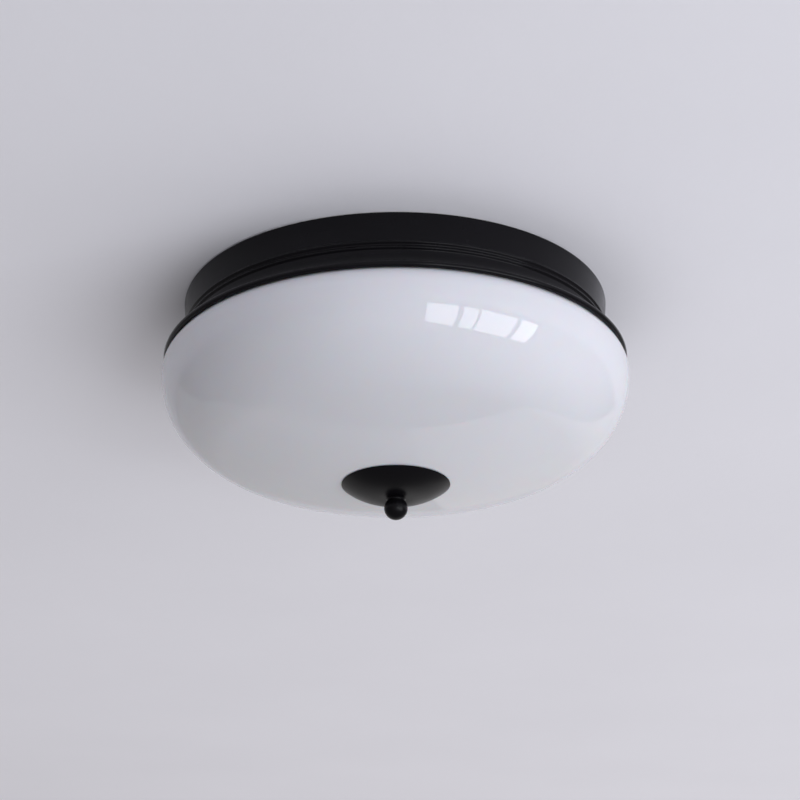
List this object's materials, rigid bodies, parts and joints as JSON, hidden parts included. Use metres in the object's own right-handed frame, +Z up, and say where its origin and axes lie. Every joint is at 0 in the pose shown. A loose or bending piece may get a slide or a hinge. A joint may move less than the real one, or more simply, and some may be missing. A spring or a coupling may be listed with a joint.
{
  "type": "flush mount ceiling light",
  "caption": "Flush ceiling light: a deep opal glass bowl held up under a ribbed, flared black steel pan by a domed cap and a ball finial.",
  "frame": {"origin": "on the ceiling, at the middle of the fixing strap and of the pan", "axes": "+Z points up into the ceiling, the light hangs towards -Z, and one lamp lies out along +Y"},
  "size_m": [0.3491, 0.3492, 0.1681],
  "materials": {
    "steel_plated": "zinc plated",
    "pan_paint": "satin powder coat",
    "cap_paint": "satin powder coat",
    "gasket_rubber": "soft silicone",
    "brass": "machined",
    "terminal_plastic": "moulded",
    "holder_plastic": "moulded",
    "nickel": "rolled thread",
    "bulb_housing": "moulded",
    "bulb_diffuser": "frosted",
    "opal_glass": "polished opal"
  },
  "bodies": {
    "canopy": {"bracket_screws": "steel_plated", "ceiling_strap": "steel_plated", "centre_rod": "steel_plated", "earth_screw": "brass", "earth_washer": "brass", "entry_grommet": "gasket_rubber", "holder_1_body": "holder_plastic", "holder_1_screw_shell": "nickel", "holder_2_body": "holder_plastic", "holder_2_screw_shell": "nickel", "holder_3_body": "holder_plastic", "holder_3_screw_shell": "nickel", "holder_contacts": "brass", "holder_nipples": "steel_plated", "holder_nuts": "steel_plated", "hub_plate": "steel_plated", "lamp_bracket_1": "steel_plated", "lamp_bracket_2": "steel_plated", "lamp_bracket_3": "steel_plated", "pan": "pan_paint", "rim_gasket": "gasket_rubber", "rod_nut": "steel_plated", "rod_washer": "steel_plated", "strap_studs": "steel_plated", "stud_nuts": "steel_plated", "stud_washers": "steel_plated", "terminal_block": "terminal_plastic", "terminal_fixings": "steel_plated", "terminal_screws": "brass"},
    "shade": {"bowl_shade": "opal_glass", "hole_bush": "gasket_rubber"},
    "cap": {"cap_dish": "cap_paint", "cap_seal": "gasket_rubber"},
    "finial": {"finial": "cap_paint"},
    "bulb_1": {"bulb_1_cap": "nickel", "bulb_1_housing": "bulb_housing", "bulb_1_globe": "bulb_diffuser"},
    "bulb_2": {"bulb_2_cap": "nickel", "bulb_2_housing": "bulb_housing", "bulb_2_globe": "bulb_diffuser"},
    "bulb_3": {"bulb_3_cap": "nickel", "bulb_3_housing": "bulb_housing", "bulb_3_globe": "bulb_diffuser"}
  },
  "joints": [
    {"name": "shade_drop", "type": "slide", "parent": "canopy", "child": "shade", "axis": [0, 0, -1], "range_m": [0, 0.13]},
    {"name": "cap_drop", "type": "slide", "parent": "shade", "child": "cap", "axis": [0, 0, -1], "range_m": [0, 0.01]},
    {"name": "finial_turn", "type": "hinge", "parent": "cap", "child": "finial", "pos_m": [0, 0, -0.1595], "axis": [0, 0, -1], "range_deg": [0, 3060]},
    {"name": "bulb_1_turn", "type": "hinge", "parent": "canopy", "child": "bulb_1", "pos_m": [0, 0.08, -0.06], "axis": [0, 1, 0], "range_deg": [0, 1080]},
    {"name": "bulb_2_turn", "type": "hinge", "parent": "canopy", "child": "bulb_2", "pos_m": [-0.06928, -0.04, -0.06], "axis": [-0.866, -0.5, 0], "range_deg": [0, 1080]},
    {"name": "bulb_3_turn", "type": "hinge", "parent": "canopy", "child": "bulb_3", "pos_m": [0.06928, -0.04, -0.06], "axis": [0.866, -0.5, 0], "range_deg": [0, 1080]}
  ],
  "couplings": [
    {"joint": "finial_turn", "follows": "cap_drop", "rad_per_m": 5026.5}
  ]
}
